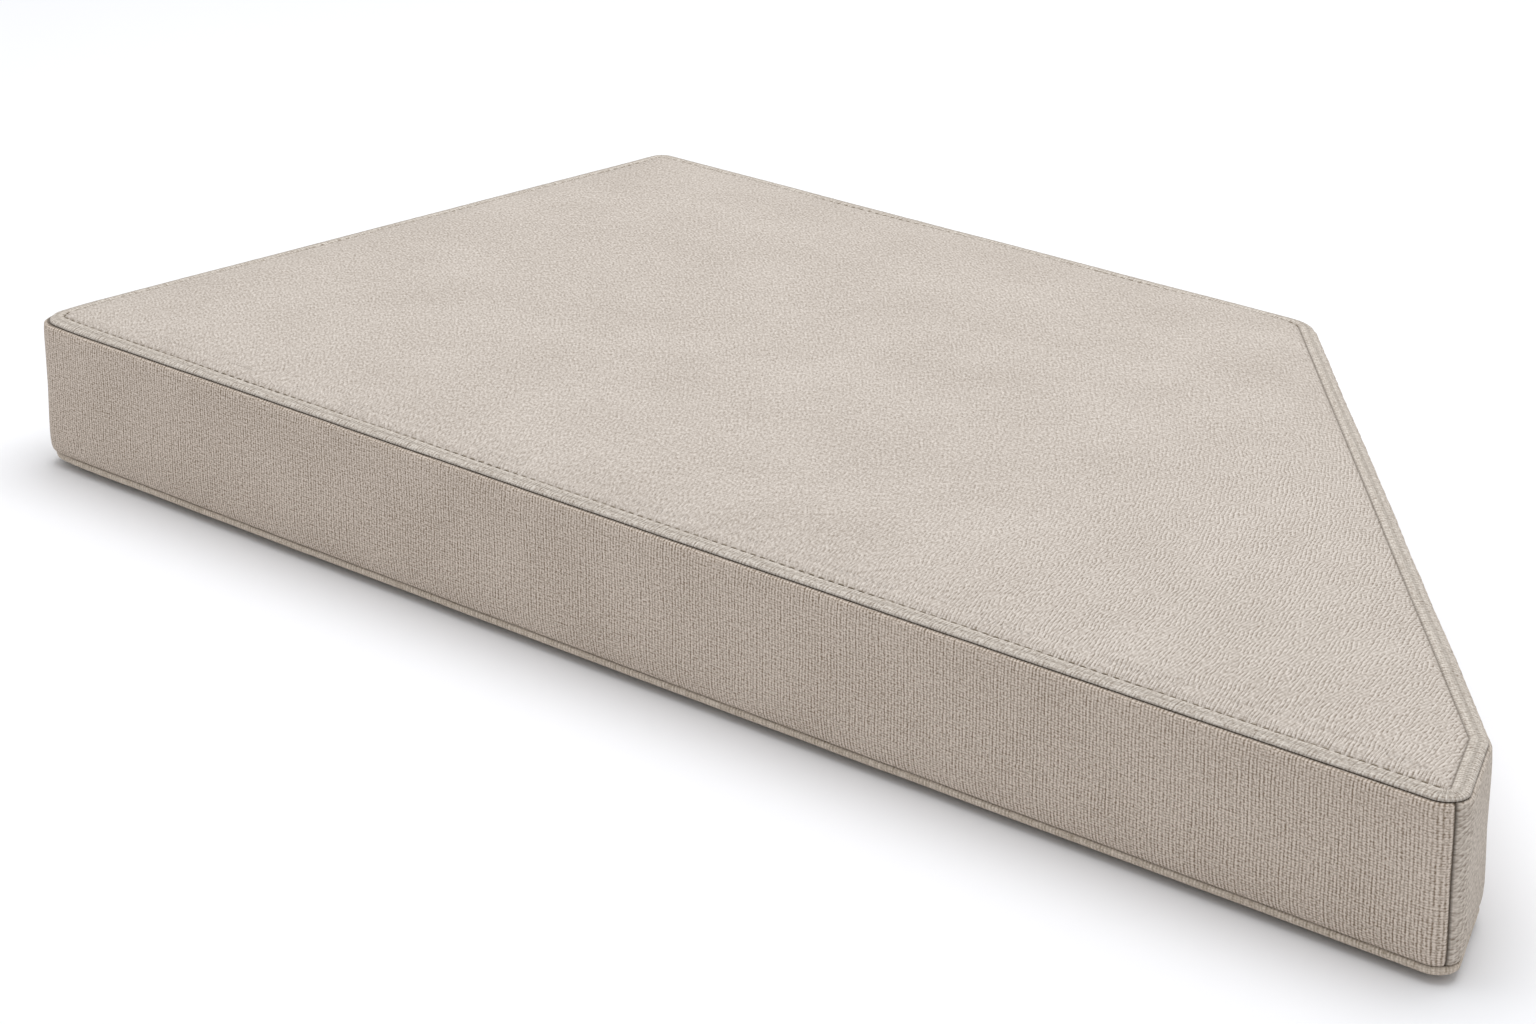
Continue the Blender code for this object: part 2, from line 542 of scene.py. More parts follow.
    def _weave(self, tree: bpy.types.NodeTree, u: bpy.types.NodeSocket,
               v: bpy.types.NodeSocket) -> tuple[bpy.types.NodeSocket, bpy.types.NodeSocket]:
        """Adds the threads, each with its own uneven tone.

        Args:
            tree: The material's node tree.
            u: Coordinate along the cloth, in metres.
            v: Coordinate across the cloth, in metres.

        Returns:
            The tone and the height of the weave, both about -1 to 1.
        """
        waves = []
        tones = []
        for axis, other, pitch, offset in ((u, v, self.thread_across, 11.0),
                                           (v, u, self.thread_along, 23.0)):
            turns = add_node(tree, "Math", (axis, 1.0 / pitch), operation="MULTIPLY")[0]
            angle = add_node(tree, "Math", (turns, 2.0 * math.pi), operation="MULTIPLY")[0]
            waves.append(add_node(tree, "Math", (angle,), operation="COSINE")[0])
            thread = add_node(tree, "Math", (turns,), operation="ROUND")[0]
            tones.append(self._noise(tree, thread, other, (0.9, 9.0 * MM), offset))
        # Threads along V show more than those across them, and crossings show a little
        crossing = add_node(tree, "Math", waves, operation="MULTIPLY")[0]
        filling = add_node(tree, "Math", (waves[1], 0.38), operation="MULTIPLY")[0]
        grid = add_node(tree, "Math", (waves[0], 0.62, filling), operation="MULTIPLY_ADD")[0]
        grid = add_node(tree, "Math", (crossing, 0.20, grid), operation="MULTIPLY_ADD")[0]
        uneven = add_node(tree, "Math", tones, operation="ADD")[0]
        uneven = add_node(tree, "Math", (uneven, 2.6 * self.slub, -2.6 * self.slub),
                          operation="MULTIPLY_ADD")[0]
        depth = self._along_cloth(tree, u, 0.55 * self.grain[0], 0.55 * self.grain[1])
        tone = add_node(tree, "Math", (grid, depth, uneven), operation="MULTIPLY_ADD")[0]
        return tone, grid

    def _line_phase(self, tree: bpy.types.NodeTree, u: bpy.types.NodeSocket,
                    v: bpy.types.NodeSocket) -> bpy.types.NodeSocket:
        """Counts the crushed lines, straight or round their centre.

        Args:
            tree: The material's node tree.
            u: Coordinate along the cloth, in metres.
            v: Coordinate across the cloth, in metres.

        Returns:
            The number of lines up to a place, before they stray.
        """
        if not self.line_centre:
            across = add_node(tree, "Math", (u, math.sin(self.line_turn) / self.line_pitch),
                              operation="MULTIPLY")[0]
            return add_node(tree, "Math",
                            (v, -math.cos(self.line_turn) / self.line_pitch, across),
                            operation="MULTIPLY_ADD")[0]
        reach_u = add_node(tree, "Math", (u, self.line_centre[0]), operation="SUBTRACT")[0]
        reach_v = add_node(tree, "Math", (v, self.line_centre[1]), operation="SUBTRACT")[0]
        square = add_node(tree, "Math", (reach_u, reach_u), operation="MULTIPLY")[0]
        square = add_node(tree, "Math", (reach_v, reach_v, square), operation="MULTIPLY_ADD")[0]
        radius = add_node(tree, "Math", (square,), operation="SQRT")[0]
        return add_node(tree, "Math", (radius, 1.0 / self.line_pitch), operation="MULTIPLY")[0]

    def _lit_and_shaded_lines(self, tree: bpy.types.NodeTree, u: bpy.types.NodeSocket,
               v: bpy.types.NodeSocket) -> bpy.types.NodeSocket:
        """Adds the crushed lines, each with painted light on one hand and painted shade on the
        other.

        Args:
            tree: The material's node tree.
            u: Coordinate along the cloth, in metres.
            v: Coordinate across the cloth, in metres.

        Returns:
            The lines' tone, from -1 to 1.
        """
        loops = self._noise(tree, u, v, self.line_size, 31.0, 1.6)
        stray = add_node(tree, "Math", (loops, 0.5), operation="SUBTRACT")[0]
        wander = self._along_cloth(tree, u, *self.line_wander)
        stray = add_node(tree, "Math", (stray, wander), operation="MULTIPLY")[0]
        phase = add_node(tree, "Math", (self._line_phase(tree, u, v), stray),
                         operation="ADD")[0]
        aside = add_node(tree, "Math", (phase,), operation="FRACT")[0]
        aside = add_node(tree, "Math", (aside, 0.5), operation="SUBTRACT")[0]
        aside = add_node(tree, "Math", (aside, self.line_pitch / self.line_width),
                         operation="MULTIPLY")[0]
        line = add_node(tree, "Math", (aside, self._ridge(tree, aside)),
                        operation="MULTIPLY")[0]
        shown = self._noise(tree, u, v, self.line_reach, 47.0)
        # The patches' noise keeps mostly between 0.38 and 0.62
        middle = 0.62 - 0.24 * self.line_share
        gate = add_node(tree, "MapRange", (shown, middle - 0.05, middle + 0.05, 0.0, 2.3),
                        interpolation_type="SMOOTHSTEP")[0]
        return add_node(tree, "Math", (line, gate), operation="MULTIPLY")[0]

    def _beads(self, tree: bpy.types.NodeTree, u: bpy.types.NodeSocket,
               v: bpy.types.NodeSocket) -> bpy.types.NodeSocket:
        """Adds the fine speckle of fibres and thread crossings.

        Args:
            tree: The material's node tree.
            u: Coordinate along the cloth, in metres.
            v: Coordinate across the cloth, in metres.

        Returns:
            The speckle, from -0.5 to 0.5.
        """
        cosine, sine = math.cos(self.bead_turn), math.sin(self.bead_turn)
        along = add_node(tree, "Math", (u, cosine), operation="MULTIPLY")[0]
        along = add_node(tree, "Math", (v, sine, along), operation="MULTIPLY_ADD")[0]
        across = add_node(tree, "Math", (u, -sine), operation="MULTIPLY")[0]
        across = add_node(tree, "Math", (v, cosine, across), operation="MULTIPLY_ADD")[0]
        speckle = self._noise(tree, along, across, self.bead_size, 97.0, 2.0)
        return add_node(tree, "Math", (speckle, 0.5), operation="SUBTRACT")[0]

    def _neps(self, tree: bpy.types.NodeTree,
              cloth: bpy.types.NodeSocket) -> bpy.types.NodeSocket:
        """Adds neps, small pale and dark knots in the yarn.

        Args:
            tree: The material's node tree.
            cloth: The cloth coordinates.

        Returns:
            The neps' tone, from -1 to 1.
        """
        cells = add_node(tree, "TexVoronoi", {"Vector": cloth, "Scale": 1.0 / NEP_SPACING},
                         voronoi_dimensions="2D")
        dot = add_node(tree, "MapRange", (cells["Distance"], 0.06, 0.10, 1.0, 0.0),
                       interpolation_type="SMOOTHSTEP")[0]
        hue = add_node(tree, "SeparateColor", (cells["Color"],))["Red"]
        kind = add_node(tree, "Math", (hue, 2.0, -1.15), operation="MULTIPLY_ADD")[0]
        return add_node(tree, "Math", (dot, kind), operation="MULTIPLY")[0]

    def _stitch_dimple_shade(self, tree: bpy.types.NodeTree) -> bpy.types.NodeSocket:
        """Adds painted shade in the dimples that the top stitching pulls into its channel.

        Args:
            tree: The material's node tree.

        Returns:
            How dark the painted shade is, from 0 to 1.
        """
        place = add_node(tree, "UVMap", uv_map="stitch")["UV"]
        run, aside = add_node(tree, "SeparateXYZ", (place,))[:2]
        aside = add_node(tree, "Math", (aside, 1.0 / CHANNEL_WIDTH), operation="MULTIPLY")[0]
        turn = add_node(tree, "Math", (run, 2.0 * math.pi / STITCH_PITCH),
                        operation="MULTIPLY")[0]
        turn = add_node(tree, "Math", (turn,), operation="COSINE")[0]
        dash = add_node(tree, "MapRange", (turn, -0.5, 0.2, 0.25, 1.0),
                        interpolation_type="SMOOTHSTEP")[0]
        return add_node(tree, "Math", (self._ridge(tree, aside), dash),
                        operation="MULTIPLY")[0]

    def _folds(self, tree: bpy.types.NodeTree, u: bpy.types.NodeSocket,
               v: bpy.types.NodeSocket, stray: bpy.types.NodeSocket) -> bpy.types.NodeSocket:
        """Adds the small upright folds that the sewing gathers, with their painted light and shade.

        Args:
            tree: The material's node tree.
            u: Coordinate along the cloth, in metres.
            v: Coordinate across the cloth, in metres.
            stray: How far the threads stray here, 0 to 1.

        Returns:
            The folds, about -1 to 1 where the cloth is gathered and 0 elsewhere.
        """
        pucker = add_node(tree, "Attribute", attribute_name="pucker")["Fac"]
        angle = add_node(tree, "Math", (stray, 7.0 * MM, u), operation="MULTIPLY_ADD")[0]
        angle = add_node(tree, "Math", (angle, 2.0 * math.pi / GATHER_PITCH),
                         operation="MULTIPLY")[0]
        patches = self._noise(tree, u, v, (6.0 * MM, 12.0 * MM), 71.0)
        here = add_node(tree, "MapRange", (patches, 0.38, 0.58, 0.1, 1.6),
                        interpolation_type="SMOOTHSTEP")[0]
        depth = add_node(tree, "Math", (pucker, here), operation="MULTIPLY")[0]
        wave = add_node(tree, "Math", (angle,), operation="COSINE")[0]
        return add_node(tree, "Math", (wave, depth), operation="MULTIPLY")[0]

    def make(self) -> bpy.types.Material:
        """Builds the material.

        Returns:
            The finished material.
        """
        material = bpy.data.materials.new(self.name)
        material.use_nodes = True
        tree = material.node_tree
        shader = tree.nodes["Principled BSDF"]
        shader.inputs["Roughness"].default_value = self.roughness
        shader.inputs["IOR"].default_value = 1.46
        shader.inputs["Sheen Weight"].default_value = 0.10
        shader.inputs["Sheen Roughness"].default_value = 0.5
        shader.inputs["Sheen Tint"].default_value = hex_to_linear("efe6da")

        cloth = add_node(tree, "UVMap", uv_map="cloth")["UV"]
        u, v = add_node(tree, "SeparateXYZ", (cloth,))[:2]
        stray_u = self._noise(tree, u, v, (60.0 * MM, 30.0 * MM), 3.0)
        stray_v = self._noise(tree, u, v, (35.0 * MM, 60.0 * MM), 7.0)
        woven_u = add_node(tree, "Math", (stray_u, 1.6 * MM, u), operation="MULTIPLY_ADD")[0]
        woven_v = add_node(tree, "Math", (stray_v, 3.0 * MM, v), operation="MULTIPLY_ADD")[0]
        weave, weave_height = self._weave(tree, woven_u, woven_v)
        # Crushed lines: real ridges in the bump, with painted light and shade in the tone
        lines = self._lit_and_shaded_lines(tree, u, v)
        # Gathers' folds: painted light and shade in the tone, and a bump
        folds = self._folds(tree, u, v, stray_u)
        streaks = self._noise(tree, u, v, (0.9 * MM, 6.0 * MM), 83.0)
        clouds = self._noise(tree, u, v, (70.0 * MM, 70.0 * MM), 61.0)

        # The streaks and clouds run from 0 to 1, so half of each comes off the mean
        tone = self.middle_tone - 0.5 * self.streak - 0.5 * self.cloud_tone
        bead = self._along_cloth(tree, u, *self.bead)
        near, far = self.line_contrast
        contrast = self._along_cloth(tree, u, self.line_shading_tone * near, self.line_shading_tone * far)
        for pattern, amount in ((weave, self.weave_tone), (streaks, self.streak),
                                (self._beads(tree, u, v), bead), (lines, contrast),
                                (self._neps(tree, cloth), self.nep_tone),
                                (folds, self.fold_shading_tone), (clouds, self.cloud_tone)):
            tone = add_node(tree, "Math", (pattern, amount, tone), operation="MULTIPLY_ADD")[0]
        threads = add_node(tree, "Mix", {0: tone, 6: hex_to_linear(self.dark_thread),
                                         7: hex_to_linear(self.light_thread)},
                           data_type="RGBA")[2]
        # Painted shade, deep in the seams and channels and in the stitch dimples
        crease_shade = add_node(tree, "Attribute", attribute_name="crease_shade")["Fac"]
        depth = add_node(tree, "Math", (crease_shade, self._stitch_dimple_shade(tree)),
                         operation="MAXIMUM")[0]
        shaded = add_node(tree, "Mix", {0: depth, 6: threads,
                                        7: hex_to_linear(self.crease_shade_tint)},
                          data_type="RGBA")[2]
        tree.links.new(shaded, shader.inputs["Base Color"])

        height = 0.0
        for pattern, relief in ((weave_height, self.weave_relief), (lines, self.line_relief),
                                (folds, self.fold_relief)):
            height = add_node(tree, "Math", (pattern, relief, height),
                              operation="MULTIPLY_ADD")[0]
        bump = add_node(tree, "Bump", {"Strength": 1.0, "Distance": 1.0, "Height": height})[0]
        tree.links.new(bump, shader.inputs["Normal"])
        return material


@dataclass(frozen=True)
class ThreadFinish:
    """Spun polyester sewing thread, a darker taupe than the cloth: matt, twisted."""

    name: str = "sewing_thread"
    light_ply: str = "a1937f"
    dark_ply: str = "6d6052"
    twist: float = 0.5 * MM
    roughness: float = 0.7

    def make(self) -> bpy.types.Material:
        """Builds the material.

        Returns:
            The finished material.
        """
        material = bpy.data.materials.new(self.name)
        material.use_nodes = True
        tree = material.node_tree
        shader = tree.nodes["Principled BSDF"]
        shader.inputs["Roughness"].default_value = self.roughness
        shader.inputs["Sheen Weight"].default_value = 0.2
        place = add_node(tree, "TexCoord")["Object"]
        plies = add_node(tree, "TexNoise", {"Vector": place, "Scale": 1.0 / self.twist,
                                            "Detail": 1.0})["Fac"]
        tone = add_node(tree, "Mix", {0: plies, 6: hex_to_linear(self.dark_ply),
                                      7: hex_to_linear(self.light_ply)}, data_type="RGBA")[2]
        tree.links.new(tone, shader.inputs["Base Color"])
        return material


@dataclass
class StuffedForm:
    """How far the foam fills out the cover between its seams, by cloth simulation.

    A coarse cover, pinned where it is sewn, is blown up from inside. How far it moves is
    capped softly, as firm foam does, and gives the top panel's crown and the boxing's
    swell.
    """

    plan: SeamPlan
    bottom_seam: float
    top_seam: float
    panel_height: float
    rim_out: float = -22.0 * MM
    coarseness: int = 8
    wall_lines: int = 6
    pressure: float = 4.0
    last_frame: int = 20
    crown_cap: float = 4.4 * MM
    wall_cap: float = 0.9 * MM
    crown: list[list[float]] = field(init=False)
    swell: list[list[float]] = field(init=False)

    def settle(self) -> None:
        """Blows up the coarse cover and keeps its crown and swell."""
        bm = bmesh.new()
        sheet = self._sheet(bm)
        wall = self._wall(bm)
        bm.verts.index_update()
        sheet_indices = [[vert.index for vert in line] for line in sheet]
        wall_indices = [[vert.index for vert in line] for line in wall]
        starts = [vert.co.copy() for vert in bm.verts]
        sewn = [index for line in (wall_indices[0], wall_indices[-1], sheet_indices[0],
                                   sheet_indices[-1]) for index in line]
        sewn.extend(line[end] for line in sheet_indices for end in (0, -1))
        ends = self._blow_up(bm, sewn)
        rises = [[(ends[index] - starts[index]).z for index in line] for line in sheet_indices]
        outward = [point.outward for point in self.plan.ring(0.0)[::self.coarseness]]
        swells = [[(ends[index] - starts[index]).xy.dot(aside)
                   for index, aside in zip(line, outward)] for line in wall_indices]
        log.info("stuffed form: crown %.1f mm, swell %.1f mm before the caps",
                 max(map(max, rises)) / MM, max(map(max, swells)) / MM)
        self.crown = [[self._capped(rise, self.crown_cap) for rise in line] for line in rises]
        self.swell = [[self._capped(move, self.wall_cap) for move in line] for line in swells]

    def _sheet(self, bm: bmesh.types.BMesh) -> list[list[bmesh.types.BMVert]]:
        """Adds the coarse top panel.

        Args:
            bm: The coarse cover.

        Returns:
            Its corners, line by line from the front.
        """
        rim = [Vector((*point.place, self.panel_height)) for point in self.plan.ring(self.rim_out)]
        columns = self.plan.long_side_steps // self.coarseness
        lines = self.plan.short_side_steps // self.coarseness
        bmesh.ops.create_grid(bm, x_segments=columns, y_segments=lines, size=0.5)
        placed: list[list] = [[None] * (columns + 1) for _ in range(lines + 1)]
        for vert in bm.verts:
            column = round((vert.co.x + 0.5) * columns)
            line = round((vert.co.y + 0.5) * lines)
            vert.co = self.plan.across(rim, column / columns, line / lines)
            placed[line][column] = vert
        return placed

    def _wall(self, bm: bmesh.types.BMesh) -> list[list[bmesh.types.BMVert]]:
        """Adds the coarse boxing.

        Args:
            bm: The coarse cover.

        Returns:
            Its corners, line by line from the bottom seam.
        """
        seam = self.plan.ring(0.0)[::self.coarseness]
        made = bmesh.ops.create_circle(bm, cap_ends=True, segments=len(seam), radius=1.0)
        cap = made["verts"][0].link_faces[0]
        lines = []
        for line in range(self.wall_lines + 1):
            share = line / self.wall_lines
            height = self.bottom_seam + (self.top_seam - self.bottom_seam) * share
            ring = [Vector((*point.place, height)) for point in seam]
            if line:
                cap = extrude_ring(bm, cap, ring)
            else:
                for corner, place in zip(cap.verts, ring):
                    corner.co = place
            lines.append(list(cap.verts))
        caps = [face for face in bm.faces if len(face.verts) > 4]
        bmesh.ops.delete(bm, geom=caps, context="FACES_ONLY")
        return lines

    def _blow_up(self, bm: bmesh.types.BMesh, sewn: Sequence[int]) -> list[Vector]:
        """Runs the simulation on a scratch copy.

        Args:
            bm: The coarse cover, which is freed.
            sewn: Indices of the points that are pinned.

        Returns:
            Where the points come to lie.
        """
        form = finish_mesh(bm, "stuffed_form")
        pins = form.vertex_groups.new(name="sewn")
        pins.add(list(sewn), 1.0, "REPLACE")
        cloth = form.modifiers.new("stuffing", "CLOTH")
        cloth.settings.quality = 6
        cloth.settings.use_pressure = True
        cloth.settings.uniform_pressure_force = self.pressure
        cloth.settings.vertex_group_mass = pins.name
        cloth.settings.effector_weights.gravity = 0.0
        cloth.point_cache.frame_start = 1
        cloth.point_cache.frame_end = self.last_frame
        scene = bpy.context.scene
        for frame_number in range(1, self.last_frame + 1):
            scene.frame_set(frame_number)
        settled = form.evaluated_get(bpy.context.evaluated_depsgraph_get())
        places = [vert.co.copy() for vert in settled.data.vertices]
        mesh = form.data
        bpy.data.objects.remove(form)
        bpy.data.meshes.remove(mesh)
        scene.frame_set(1)
        return places

    def _capped(self, move: float, cap: float) -> float:
        """A move that levels off softly at its cap."""
        return cap * math.tanh(move / cap)

    def crown_at(self, u: float, v: float) -> float:
        """Rise of the top panel at a share of the long and of the short sides."""
        lines = len(self.crown) - 1
        columns = len(self.crown[0]) - 1
        index = min(int(v * lines), lines - 1)
        near = range(max(index - 1, 0), min(index + 3, lines + 1))
        readings = [between(self.crown[line], u * columns) for line in near]
        return between(readings, v * lines - near[0])

    def swell_at(self, column: int, height: float) -> float:
        """Swell of the boxing at a ring point and a height above the floor."""
        share = (height - self.bottom_seam) / (self.top_seam - self.bottom_seam)
        if not 0.0 < share < 1.0:
            return 0.0
        place = column / self.coarseness
        count = len(self.swell[0])
        index = int(place)
        readings = []
        for line in self.swell:
            start, end = line[index % count], line[(index + 1) % count]
            readings.append(start + (end - start) * (place - index))
        return between(readings, share * self.wall_lines)


@dataclass
class CushionCover:
    """The sewn cover on its foam: boxing, edge bands, channels and crowned panels.

    Attributes:
        plan: The seam line.
        bottom_seam: Height of the bottom seam.
        top_seam: Height of the top seam.
        upright_seam_depth: How far the upright seam pulls the boxing in.
        upright_seam_steps: Half width of that pull, in ring points.
        softness: How far the cloth stands off its even section in slow swells.
        swell_length: Length of those swells.
        gather_depth: Depth of the gathers at the sewing.
        gather_length: Length of a gather along the seam.
        gather_height: Length of a gather up the wall.
        gather_place: Where the gathers are read in the noise.
        draw_end: How far inside the seam the left front corner's draw has faded out.
        draw_fade: Width of that fade.
        rest_height: Height up to which the underside rests flat and stays even.
        band_turn: How far inside the top seam the band faces up, so that it swells upwards.
        merge_reach: Distance within which points of neighbouring sheets become one.
        name: The cover's name.
    """

    plan: SeamPlan
    bottom_seam: float = 10.0 * MM
    top_seam: float = 99.0 * MM
    upright_seam_depth: float = 2.2 * MM
    upright_seam_steps: float = 0.9
    softness: float = 0.5 * MM
    swell_length: float = 70.0 * MM
    gather_depth: float = 0.455 * MM
    gather_length: float = 7.0 * MM
    gather_height: float = 14.0 * MM
    gather_place: float = 3.7
    draw_end: float = 20.0 * MM
    draw_fade: float = 9.0 * MM
    rest_height: float = 0.3 * MM
    band_turn: float = 3.0 * MM
    merge_reach: float = 0.35 * MM
    name: str = "cushion_cover"
    form: StuffedForm = field(init=False)

    def __post_init__(self) -> None:
        """Fills out the cover with its foam."""
        self.form = StuffedForm(self.plan, self.bottom_seam, self.top_seam,
                                self.rows()[-1].height)
        self.form.settle()

    def rows(self) -> list[SectionRow]:
        """Lists the section from the underside's rim to the top panel's rim.

        Returns:
            The section rows, in order.
        """
        wall = self.top_seam - self.bottom_seam
        bottom = self.bottom_seam
        top = self.top_seam
        # The shade column paints shade into the grooves of the seams and channels
        return [
            SectionRow("underside rim", -36.0 * MM, 0.0),
            SectionRow("underside rise", -26.0 * MM, 0.9 * MM),
            SectionRow("underside slope", -18.0 * MM, 2.5 * MM),
            SectionRow("underside lip", -12.4 * MM, 4.5 * MM, 0.2),
            SectionRow("underside channel", CHANNEL_OUT, 5.8 * MM, 0.6),
            SectionRow("band inner foot", -8.4 * MM, 5.1 * MM, 0.1),
            SectionRow("band sole", -6.2 * MM, 4.7 * MM),
            SectionRow("band outer foot", -3.4 * MM, 4.7 * MM),
            SectionRow("band curl", -1.3 * MM, 5.2 * MM, 0.0, 0.1),
            SectionRow("band low side", -0.3 * MM, 6.2 * MM, 0.0, 0.25),
            SectionRow("band side", 0.1 * MM, 7.6 * MM, 0.0, 0.4),
            SectionRow("band shoulder", -0.2 * MM, 9.2 * MM, 0.0, 0.4),
            SectionRow("band edge", -1.0 * MM, 9.75 * MM, 0.25, 0.3),
            SectionRow("bottom seam", -1.9 * MM, bottom, 0.8, 0.2),
            SectionRow("boxing edge", -0.8 * MM, bottom + 0.3 * MM, 0.25, 0.4),
            SectionRow("boxing fold", 0.1 * MM, bottom + 1.3 * MM, 0.0, 0.6),
            SectionRow("boxing foot", 0.9 * MM, bottom + 4.0 * MM, 0.0, 0.5),
            SectionRow("lower round", 1.4 * MM, bottom + 0.09 * wall, 0.0, 0.35),
            SectionRow("low wall", 1.7 * MM, bottom + 0.16 * wall, 0.0, 0.15),
            SectionRow("lower wall", 1.7 * MM, bottom + 0.26 * wall),
            SectionRow("waist", 1.4 * MM, bottom + 0.50 * wall),
            SectionRow("upper wall", 1.8 * MM, bottom + 0.74 * wall),
            SectionRow("high wall", 2.0 * MM, bottom + 0.84 * wall, 0.0, 0.05),
            SectionRow("upper round", 2.1 * MM, bottom + 0.90 * wall, 0.0, 0.2),
            SectionRow("top gathers", 2.0 * MM, top - 4.6 * MM, 0.0, 0.5),
            SectionRow("boxing shoulder", 1.8 * MM, top - 1.5 * MM, 0.0, 0.7),
            SectionRow("boxing top fold", 0.6 * MM, top - 0.55 * MM, 0.0, 0.6),
            SectionRow("boxing top edge", -0.9 * MM, top - 0.2 * MM, 0.8, 0.4),
            SectionRow("top seam", -2.2 * MM, top, 1.0, 0.2),
            SectionRow("band lip", -1.0 * MM, top + 0.15 * MM, 0.6, 0.2),
            SectionRow("band outer edge", 0.0 * MM, top + 0.5 * MM, 0.2, 0.3),
            SectionRow("band bead", -0.4 * MM, top + 1.4 * MM, 0.0, 0.4),
            SectionRow("band brow", -1.5 * MM, top + 2.2 * MM, 0.0, 0.5),
            SectionRow("band crest", -2.8 * MM, top + 2.8 * MM, 0.0, 0.5),
            SectionRow("band groove", -4.5 * MM, top + 2.95 * MM, 0.3, 0.5),
            SectionRow("band inner crest", -6.9 * MM, top + 3.4 * MM, 0.0, 0.5),
            SectionRow("band inner side", -9.0 * MM, top + 3.15 * MM, 0.0, 0.4),
            SectionRow("channel", CHANNEL_OUT, top + 2.5 * MM, 0.35, 0.1),
            SectionRow("panel edge", -11.2 * MM, top + 3.1 * MM, 0.05, 0.3),
            SectionRow("panel lip", -13.2 * MM, top + 4.1 * MM, 0.0, 0.3),
            SectionRow("panel slope", -16.5 * MM, top + 5.0 * MM, 0.0, 0.15),
            SectionRow("panel rim", StuffedForm.rim_out, top + 5.6 * MM),
        ]

    def _zone(self, row: SectionRow, rows: Sequence[SectionRow]) -> Zone:
        """Says which part of the cover lies above a row."""
        names = [each.name for each in rows]
        index = names.index(row.name)
        if names.index("bottom seam") <= index < names.index("top seam"):
            return Zone.FRONT
        if index >= names.index("channel"):
            return Zone.PANEL
        return Zone.BASE if index < names.index("bottom seam") else Zone.BAND

    def _upright_tuck(self, index: int) -> float:
        """How far the upright seam pulls the boxing in at a ring point."""
        steps = abs(index - self.plan.upright_seam_index)
        return self.upright_seam_depth * math.exp(-((steps / self.upright_seam_steps) ** 2))

    def _soft(self, place: Vector, run: float, row: SectionRow) -> float:
        """Works out how far the cloth stands off its even section.

        Args:
            place: The point, on the even section.
            run: Run along the seam line.
            row: The section row.

        Returns:
            The offset outwards, in metres.
        """
        swell = noise.noise(place / self.swell_length) * self.softness
        gather = noise.noise(Vector((run / self.gather_length, row.height / self.gather_height,
                                     self.gather_place)))
        return swell * (1.0 - row.shade) + gather * self.gather_depth * row.pucker

    def _row_ring(self, row: SectionRow, zone: Zone) -> list[Vector]:
        """Places one row's ring, softened by gathers and the upright seam.

        Args:
            row: The section row.
            zone: The part of the cover that the row lies on.

        Returns:
            The ring's points.
        """
        on_boxing = zone is Zone.FRONT and row.name != "bottom seam"
        fade = min(max((row.out + self.draw_end) / self.draw_fade, 0.0), 1.0)
        ring = self.plan.ring(row.out, 0.0 if on_boxing else fade)
        placed = []
        for index, point in enumerate(ring):
            place = Vector((point.place.x, point.place.y, row.height))
            if row.height <= self.rest_height:
                placed.append(place)
                continue
            offset = self._soft(place, point.run, row)
            if on_boxing:
                offset += self.form.swell_at(index, row.height) - self._upright_tuck(index)
            if abs(row.out) > self.band_turn and row.height > self.top_seam:
                place.z += offset
            else:
                place.x += point.outward.x * offset
                place.y += point.outward.y * offset
            placed.append(place)
        return placed

    def _patch(self, rim: Sequence[Vector], coarseness: int, face: Face) -> bmesh.types.BMesh:
        """Makes the sheet inside a rim from a grid.

        Args:
            rim: The rim's points.
            coarseness: How many rim steps make one step of the grid.
            face: Which panel the sheet belongs to.

        Returns:
            The sheet, with its border cut to meet every point of the rim.
        """
        columns = self.plan.long_side_steps // coarseness
        lines = self.plan.short_side_steps // coarseness
        sheet = bmesh.new()
        bmesh.ops.create_grid(sheet, x_segments=columns, y_segments=lines, size=0.5)
        for vert in sheet.verts:
            share_u = min(max(vert.co.x + 0.5, 0.0), 1.0)
            share_v = min(max(vert.co.y + 0.5, 0.0), 1.0)
            vert.co = self.plan.across(rim, share_u, share_v)
            if face is Face.TOP:
                vert.co.z += self.form.crown_at(share_u, share_v)
        border = [edge for edge in sheet.edges if edge.is_boundary]
        bmesh.ops.subdivide_edges(sheet, edges=border, cuts=coarseness - 1)
        rim_tree = kdtree.KDTree(len(rim))
        for index, place in enumerate(rim):
            rim_tree.insert(place, index)
        rim_tree.balance()
        for vert in sheet.verts:
            if vert.is_boundary:
                vert.co = rim_tree.find(vert.co)[0]
        return sheet

    def build(self) -> bpy.types.Object:
        """Builds the cover as one closed mesh.

        Returns:
            The cover's object.
        """
        rows = self.rows()
        bm = bmesh.new()
        bmesh.ops.create_circle(bm, cap_ends=True, segments=self.plan.ring_size, radius=1.0)
        cap = bm.faces[:][0]
        rings = [self._row_ring(row, self._zone(row, rows)) for row in rows]
        for corner, place in zip(cap.verts, rings[0]):
            corner.co = place
        for ring in rings[1:]:
            cap = extrude_ring(bm, cap, ring)
        bm.faces.ensure_lookup_table()
        bmesh.ops.delete(bm, geom=[cap], context="FACES_ONLY")
        underside = [face for face in bm.faces if len(face.verts) > 4]
        bmesh.ops.delete(bm, geom=underside, context="FACES_ONLY")

